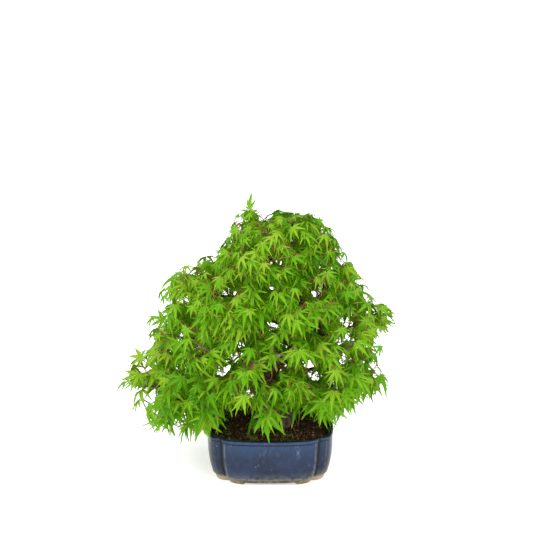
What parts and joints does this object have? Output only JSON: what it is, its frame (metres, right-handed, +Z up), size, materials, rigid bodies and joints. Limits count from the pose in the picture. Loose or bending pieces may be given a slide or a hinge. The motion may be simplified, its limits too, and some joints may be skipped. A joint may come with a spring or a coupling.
{
  "type": "bonsai japanese maple in glazed pot",
  "caption": "Small bonsai Japanese maple with a bent trunk and a broad layered crown, rooted in soil in a low four-lobed glazed pot on corner feet.",
  "frame": {"origin": "middle of the whole plant's footprint, at the level that the pot's feet stand on", "axes": "+Z up, -Y towards the front of the pot and of the tree, +X to the right when facing the front"},
  "size_m": [0.3466, 0.2364, 0.349],
  "materials": {
    "glaze": "glossy slate-blue glaze, breaking brown at the edges",
    "soil": "damp granular soil",
    "bark": "grey-brown bark",
    "leaf": "fresh green, matt"
  },
  "bodies": {
    "root": {"pot": "glaze", "soil": "soil", "trunk": "bark", "bough_low_back": "bark", "bough_low_back_left": "bark", "bough_low_back_right": "bark", "bough_low_front": "bark", "bough_low_front_left": "bark", "bough_low_front_right": "bark", "bough_low_left": "bark", "bough_low_right": "bark", "bough_middle_back": "bark", "bough_middle_back_left": "bark", "bough_middle_back_right": "bark", "bough_middle_front": "bark", "bough_middle_front_left": "bark", "bough_middle_left": "bark", "bough_upper_back_left": "bark", "bough_upper_front_left": "bark", "bough_upper_left": "bark", "foliage_cap": "leaf", "foliage_leader": "leaf", "foliage_low_back": "leaf", "foliage_low_back_left": "leaf", "foliage_low_back_right": "leaf", "foliage_low_front": "leaf", "foliage_low_front_left": "leaf", "foliage_low_front_right": "leaf", "foliage_low_left": "leaf", "foliage_low_right": "leaf", "foliage_middle_back": "leaf", "foliage_middle_back_left": "leaf", "foliage_middle_back_right": "leaf", "foliage_middle_front": "leaf", "foliage_middle_front_left": "leaf", "foliage_middle_front_right": "leaf", "foliage_middle_left": "leaf", "foliage_middle_right": "leaf", "foliage_top_back": "leaf", "foliage_top_front": "leaf", "foliage_top_left": "leaf", "foliage_top_right": "leaf", "foliage_upper_back_left": "leaf", "foliage_upper_back_right": "leaf", "foliage_upper_front_left": "leaf", "foliage_upper_front_right": "leaf", "foliage_upper_left": "leaf", "foliage_upper_right": "leaf"}
  },
  "joints": []
}
